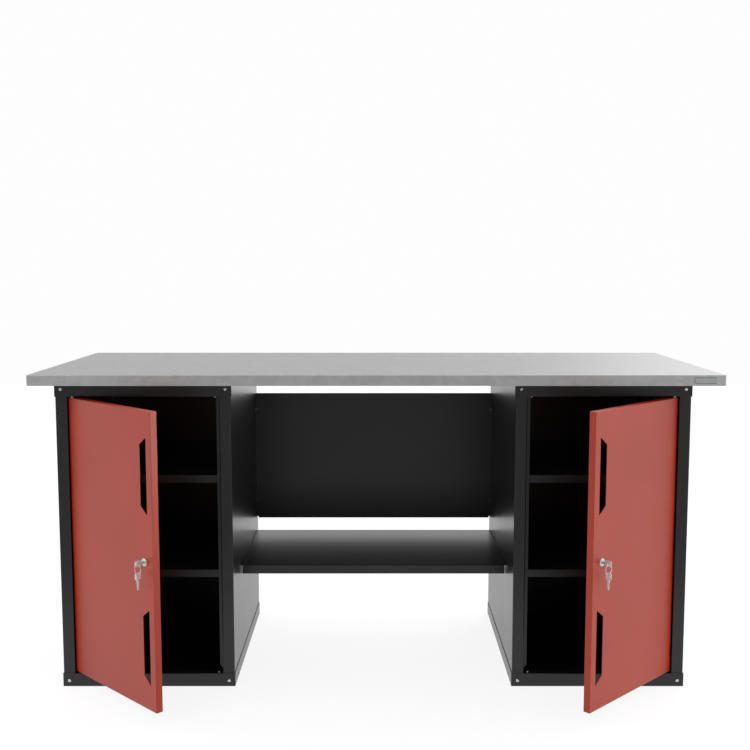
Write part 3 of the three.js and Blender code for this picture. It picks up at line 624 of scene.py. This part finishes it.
def back_rivets(side):
    """Rows of three on the trays and columns of four on the side panels, their heads to the rear."""
    low, high = box_mm(f"{side}_back_panel")
    tray_rear = box_mm(f"{side}_base_tray")[1][1]
    xs = np.linspace(low[0] + ROW_END, high[0] - ROW_END, 3)
    zs = np.linspace(low[2] + COLUMN_END, high[2] - COLUMN_END, 4)
    places = [(x, tray_rear, z) for x in xs for z in (RIVET_TRAY, high[2] + low[2] - RIVET_TRAY)]
    places += [(x, high[1], z) for z in zs for x in (low[0] + RIVET_SIDE, high[0] - RIVET_SIDE)]
    return [part for place in places for part in moved(turned(RIVET, 24), facing((0, 1, 0), place))]


for side in SIDES:
    surface(f"{side}_back_rivets", back_rivets(side), ZINC, "bench", "bright_zinc")


# Locks and keys, about a lock's middle on its door's face: x to the free edge, y up, z out of the door
LOCK_LENGTH = 21.0
BEZEL = [
    (6.5, -LOCK_LENGTH), (6.5, 3.6), (6.8, 3.95), (7.4, 4.0), (8.3, 3.72), (9.2, 3.1), (9.9, 2.2),
    (10.35, 1.2), (10.5, 0.6), (10.45, 0.15), (10.2, 0.05), (9.0, 0.05),
]
THREAD_RADIUS = 8.75
THREAD_HEIGHT = 0.3
THREAD_INSET = 0.6  # from the door's face and from the case's end
CASE_END = 8.7
LOCK_NUT = {"across": 24.0, "bore": 9.05, "height": 4.5}
LOCK_NUT_PLACE = -6.0
PLUG_RADIUS = 6.4
PLUG_FACE = 3.2
PLUG_EASE = 0.2  # chamfer round its face
PLUG_END = -23.3
TENON_HALF = 4  # of the plug's square end
KEYWAY_HALF = (1.3, 3.45)
KEYWAY_DEPTH = 5.0
KEYWAY_WALL = 0.3  # width of its walls' slope
CAM_HALF = 7.5
CAM_REACH = 36.5  # between the middles of its round ends
CAM_SCREW = {"radius": 4.2, "rim": 1.2, "crown": 2.6, "shank": 2.0, "length": 4.3}
CAM_SCREW_SEAT = -23.6

KEY_TIP = -17.4
KEY_ROOT = 11.5  # blade's end inside the bow
KEY_SHOULDER = 6.0
TIP_HALF, BLADE_RISE, NECK_RISE = 1.2, 1.95, 0.5  # half width at the tip, and what blade and neck add
TIP_LENGTH = 2.0
SHOULDER_LENGTH = 0.5
KEY_CUTS = np.array([(-14.2, 0.9), (-11.0, 1.7), (-7.8, 0.6), (-4.6, 1.4), (-1.4, 1.0)])  # place, depth
CUT_HALF = 0.5  # half the width of a cut's flat bottom
CUT_SLOPE = 0.95
KEY_HALF = 1.0  # half its thickness
KEY_EASE = 0.22  # chamfer along its edges
GROOVE = 0.5  # depth
GROOVE_END = 5.0
BOW_HALF = np.array([8.0, 9.6])
BOW_MIDDLE = 18.0
# Share of the way from the eye to the outline, and half the thickness there
BOW_SECTION = [(0, 0.8), (0.04, 1.0), (0.16, 1.0), (0.2, 0.75), (0.74, 0.75), (0.8, 1.0), (0.97, 1.0), (1, 0.8)]
EYE_RADIUS = 2.75
EYE_OUT = 20.0
RING_RADIUS = 13.0
RING_MIDDLE = -14.55
WIRE_HALF = (0.8, 0.42)  # across the ring and along its axis
WIRE_PITCH = 0.86  # between the ring's two turns
WIRE_STEP = (1.7 * np.pi, 0.6 * np.pi)  # where the wire steps over, and along how much of a turn
WIRE_GAP = 0.25  # angle that two full turns lack
WIRE_END = 0.06  # angle of its rounded ends
SPARE_EYE = -29.1


def lock_case():
    """A turned case: domed bezel, then a barrel whose radius swings by a third of a millimetre each
    millimetre, as a thread."""
    depth = np.linspace(-THREAD_INSET, -LOCK_LENGTH + THREAD_INSET, 160)
    thread = np.stack([THREAD_RADIUS + THREAD_HEIGHT * np.abs((depth % 1.0) * 2 - 1), depth], -1)
    return turned([*BEZEL, *thread, (CASE_END, -LOCK_LENGTH), BEZEL[0]], 64)


def lock_barrel():
    """The plug: a round face with a keyway, a round barrel, then a square end of radius 4 over the larger
    of |cos| and |sin|."""
    angle = np.linspace(0, 2 * np.pi, 129)
    ring = np.ones_like(angle)
    r = np.linspace(0, PLUG_RADIUS - PLUG_EASE, 26)[:, None] * ring
    x, y = np.abs(r * np.cos(angle)), np.abs(r * np.sin(angle))
    across = np.clip((KEYWAY_HALF[0] - x) / KEYWAY_WALL + 0.5, 0, 1)
    along = np.clip((KEYWAY_HALF[1] - y) / KEYWAY_WALL + 0.5, 0, 1)
    face = PLUG_FACE - KEYWAY_DEPTH * (across * along)
    square = TENON_HALF / np.maximum(np.abs(np.cos(angle)), np.abs(np.sin(angle)))
    rows = [PLUG_RADIUS * ring, PLUG_RADIUS * ring, square, square, 0 * ring]
    heights = [PLUG_FACE - PLUG_EASE, -LOCK_LENGTH, -LOCK_LENGTH, PLUG_END, PLUG_END]
    return [polar(np.concatenate([r, rows]), np.concatenate([face, [h * ring for h in heights]]))]


def lock_cam():
    """A flat cam with round ends: each point of its outline is joined to the nearest point of its middle
    line, over a section with eased edges. The first column comes again at the end and closes it."""
    angle = np.append(np.linspace(0, 2 * np.pi, 97), 0)
    out = np.stack([np.cos(angle), np.sin(angle)], -1)
    middle = np.stack([np.zeros_like(angle), np.where(np.sin(angle) >= 0, CAM_REACH, 0.0)], -1)
    share = CAM_HALF - np.array([CAM_HALF, 0.35, 0.1, 0, 0, 0.1, 0.35, CAM_HALF])
    height = np.array([-21.3, -21.3, -21.4, -21.65, -22.95, -23.2, -23.3, -23.3])
    plan = middle[None] + share[:, None, None] * out[None]
    return [grid(np.concatenate([plan, np.broadcast_to(height[:, None, None], plan[..., :1].shape)], -1))]


def flat_key():
    """A key along z. Its blade and neck are rings of one section whose upper and lower edges vary along z,
    with V cuts in the lower edge and a groove along one side; its bow is a plate between a round eye and a
    rounded square of radius (|cos / a|^5 + |sin / b|^5)^(-1/5), with a raised rim."""
    z = np.linspace(KEY_TIP, KEY_ROOT, 110)
    tip = np.clip((z - KEY_TIP) / TIP_LENGTH, 0, 1)
    neck = np.clip((z - KEY_SHOULDER) / SHOULDER_LENGTH, 0, 1)
    upper = TIP_HALF + BLADE_RISE * tip + NECK_RISE * neck
    beside = np.maximum(np.abs(z - KEY_CUTS[:, :1]) - CUT_HALF, 0)
    notch = np.clip(KEY_CUTS[:, 1:] - beside * CUT_SLOPE, 0, None).max(0)
    lower = notch - upper
    bottom = KEY_HALF - GROOVE * np.clip((GROOVE_END - z) / 0.6, 0, 1)
    section = [
        (KEY_HALF - KEY_EASE, lower), (KEY_HALF, lower + KEY_EASE), (KEY_HALF, 0.35), (bottom, 0.6),
        (bottom, 0.95), (KEY_HALF, 1.1), (KEY_HALF, upper - KEY_EASE), (KEY_HALF - KEY_EASE, upper),
    ]
    right = np.stack([np.stack(np.broadcast_arrays(x, y, z), -1) for x, y in section], 1)
    left = right[:, ::-1] * np.array([-1, 1, 1])
    left[:, 2:6, 0] = -KEY_HALF
    rings = np.concatenate([right, left, right[:, :1]], 1)
    caps = np.broadcast_to(rings.mean(1, keepdims=True), rings.shape)
    blade = np.concatenate([caps[:1], rings, caps[-1:]])

    angle = np.linspace(0, 2 * np.pi, 97)
    ray = np.stack([np.cos(angle), np.sin(angle)], -1)
    eye = EYE_RADIUS * ray
    edge = (np.abs(ray / BOW_HALF) ** 5).sum(1) ** -0.2
    outline = edge[:, None] * ray + np.array([0, BOW_MIDDLE - EYE_OUT])
    plate = np.array(BOW_SECTION)
    plate = np.concatenate([plate, plate[::-1] * np.array([1, -1]), plate[:1]])
    plan = eye[None] + plate[:, :1, None] * (outline - eye)[None]
    sides = np.broadcast_to(plate[:, 1:, None], plan[..., :1].shape)
    bow = np.concatenate([sides, plan + np.array([0, EYE_OUT])], -1)
    return [grid(blade), grid(bow)]


def split_ring():
    """Two turns of flattened wire, side by side: an ellipse carried along a circle that steps from the one
    turn to the other. The wire's ends are rounded."""
    turn = np.linspace(0, 4 * np.pi - WIRE_GAP, 190)
    step = np.clip((turn - WIRE_STEP[0]) / WIRE_STEP[1], 0, 1)
    side = WIRE_PITCH * (step * step * (3 - 2 * step) - 0.5)
    swell = np.sqrt(np.clip(np.minimum(turn, turn[-1] - turn) / WIRE_END, 0.0, 1))
    around = np.linspace(0, 2 * np.pi, 13)
    radius = RING_RADIUS + WIRE_HALF[0] * swell[:, None] * np.cos(around)
    rise = side[:, None] + WIRE_HALF[1] * swell[:, None] * np.sin(around)
    start = turn[:, None] + 0.6
    return [grid(np.stack([radius * np.cos(start), radius * np.sin(start), rise], -1))]


def cam_screw():
    """The screw that holds the cam, its head to the inside of the cabinet."""
    return moved(screw(**CAM_SCREW), lambda p: np.stack([p[:, 0], -p[:, 1], CAM_SCREW_SEAT - p[:, 2]], -1))


def hanging_key():
    """The spare key, hung by its eye from the ring."""
    return moved(flat_key(), lambda p: np.stack([
        p[:, 0], SPARE_EYE + p[:, 2] - EYE_OUT, EYE_OUT - p[:, 1]], -1))


ring_nut = shifted(hexagon_nut(**LOCK_NUT), (0, 0, LOCK_NUT_PLACE))
key_ring = shifted(split_ring(), (0, RING_MIDDLE, EYE_OUT))
# Piece, its parts, material and slot, then the body it rides on and the node it stands for
LOCK_PIECES = [
    ("lock_case", lock_case(), ZINC, "bright_zinc", "door", "lock_body"),
    ("lock_ring_nut", ring_nut, ZINC, "bright_zinc", "door", "lock_nut"),
    ("lock_barrel", lock_barrel(), NICKEL, "nickel_silver", "lock", "lock_plug"),
    ("lock_lever", lock_cam(), ZINC, "bright_zinc", "lock", "lock_cam"),
    ("lever_screw", cam_screw(), ZINC, "bright_zinc", "lock", "cam_screw"),
    ("lock_key", flat_key(), NICKEL, "nickel_silver", "key", "key"),
    ("split_ring", key_ring, ZINC, "bright_zinc", "key_ring", "key_ring"),
    ("second_key", hanging_key(), NICKEL, "nickel_silver", "spare_key", "spare_key"),
]
for side in SIDES:
    for name, parts, material, slot, body, node in LOCK_PIECES:
        placed = moved(parts, on_lock(side))
        surface(f"{side}_{name}", placed, material, f"{side}_{body}", slot, [f"{side}_{node}"])


# Room, in metres
FLOOR_X = (-5, 12)
FLOOR_Y = (-1, 7)
LEFT_FREE_EDGE = (-0.54, -0.43, 0.7)  # of the left door


def plain_floor():
    """A pale studio floor. What the camera and reflections see is partly its own light, so it looks white
    out of the object's shadow and keeps the shadow soft."""
    mesh = bpy.data.meshes.new("floor")
    corners = [(FLOOR_X[i], FLOOR_Y[j], 0) for i, j in ((0, 0), (1, 0), (1, 1), (0, 1))]
    mesh.from_pydata(corners, [], [(0, 1, 2, 3)])
    floor = bpy.data.objects.new("floor", mesh)
    bpy.context.scene.collection.objects.link(floor)
    material = bpy.data.materials.new("pale_studio_floor")
    material.use_nodes = True
    tree = material.node_tree
    tree.nodes.clear()
    rays = add(tree, "ShaderNodeLightPath").outputs
    seen = rays["Is Camera Ray"]
    for kind in ("Is Glossy Ray", "Is Transmission Ray"):
        seen = add(tree, "ShaderNodeMath", {0: seen, 1: rays[kind]}, operation="MAXIMUM").outputs[0]
    paint = add(tree, "ShaderNodeBsdfDiffuse", {"Color": (0.2, 0.2, 0.2, 1)})
    glow = add(tree, "ShaderNodeEmission", {"Color": (1, 1, 1, 1), "Strength": 0.86})
    both = add(tree, "ShaderNodeAddShader")
    tree.links.new(paint.outputs[0], both.inputs[0])
    tree.links.new(glow.outputs[0], both.inputs[1])
    plain = add(tree, "ShaderNodeBsdfDiffuse", {"Color": (0.8, 0.8, 0.8, 1)})
    mix = add(tree, "ShaderNodeMixShader", {0: seen, 1: plain.outputs[0], 2: both.outputs[0]})
    add(tree, "ShaderNodeOutputMaterial", {"Surface": mix.outputs[0]})
    mesh.materials.append(material)


def studio_world():
    """A white room, darker on the camera's side and brightest at the back on the right. Seen directly it is
    white all round."""
    world = bpy.data.worlds.new("studio")
    world.use_nodes = True
    tree = world.node_tree
    tree.nodes.clear()
    way = add(tree, "ShaderNodeTexCoord").outputs["Generated"]
    axes = add(tree, "ShaderNodeSeparateXYZ", {"Vector": way})
    depth = add(tree, "ShaderNodeMapRange", {
        "Value": axes.outputs["Y"], "From Min": -1.0, "From Max": 0.6, "To Min": 0.5, "To Max": 1.15})
    right = add(tree, "ShaderNodeMapRange", {
        "Value": axes.outputs["X"], "From Min": 0.15, "From Max": 0.29, "To Min": 0.0, "To Max": 1.0},
        interpolation_type="SMOOTHSTEP")
    share = add(tree, "ShaderNodeMapRange", {
        "Value": axes.outputs["Y"], "From Min": 0.3, "From Max": 0.7, "To Min": 0.22, "To Max": 1.5})
    gain = add(tree, "ShaderNodeMath", {
        0: right.outputs["Result"], 1: share.outputs["Result"], 2: 1.0}, operation="MULTIPLY_ADD")
    lit = add(tree, "ShaderNodeMath", {0: depth.outputs["Result"], 1: gain.outputs[0]}, operation="MULTIPLY")
    rays = add(tree, "ShaderNodeLightPath")
    level = add(tree, "ShaderNodeMix", {
        0: rays.outputs["Is Camera Ray"], 2: lit.outputs[0], 3: 0.985}, data_type="FLOAT")
    sky = add(tree, "ShaderNodeBackground", {"Color": (1, 1, 1, 1), "Strength": level.outputs[0]})
    add(tree, "ShaderNodeOutputWorld", {"Surface": sky.outputs[0]})
    bpy.context.scene.world = world


def soft_box(name, place, aim, size, power, spread=math.pi):
    """A rectangular light at place that points at aim, its power in watts."""
    lamp = bpy.data.lights.new(name, "AREA")
    lamp.shape = "RECTANGLE"
    lamp.size, lamp.size_y = size
    lamp.energy = power
    lamp.spread = spread
    box = bpy.data.objects.new(name, lamp)
    box.location = place
    box.rotation_euler = (Vector(aim) - Vector(place)).to_track_quat("-Z", "Y").to_euler()
    bpy.context.scene.collection.objects.link(box)


def photo_camera():
    """The camera that the photograph was taken with, as fitted to its perspective."""
    camera = bpy.data.objects.new("camera", bpy.data.cameras.new("camera"))
    camera.data.lens = CAMERA_LENS
    camera.data.sensor_width = CAMERA_SENSOR
    camera.location = CAMERA_PLACE
    camera.rotation_euler = Euler((CAMERA_TILT, 0, 0))
    bpy.context.scene.collection.objects.link(camera)
    bpy.context.scene.camera = camera


plain_floor()
studio_world()
soft_box("left_box", (-2.8, -2.2, 2.2), (-0.3, 0, 0.5), size=(1.8, 1.8), power=22)
soft_box("right_box", (2.9, -1.15, 0.5), LEFT_FREE_EDGE, size=(0.8, 0.9), power=9)
# A narrow light that brightens the left door's free edge
soft_box("edge_strip", (2.9, -1.15, 0.3), LEFT_FREE_EDGE, size=(0.3, 0.5), power=0.048, spread=math.radians(10))
photo_camera()
bpy.context.scene.view_settings.view_transform = "Standard"
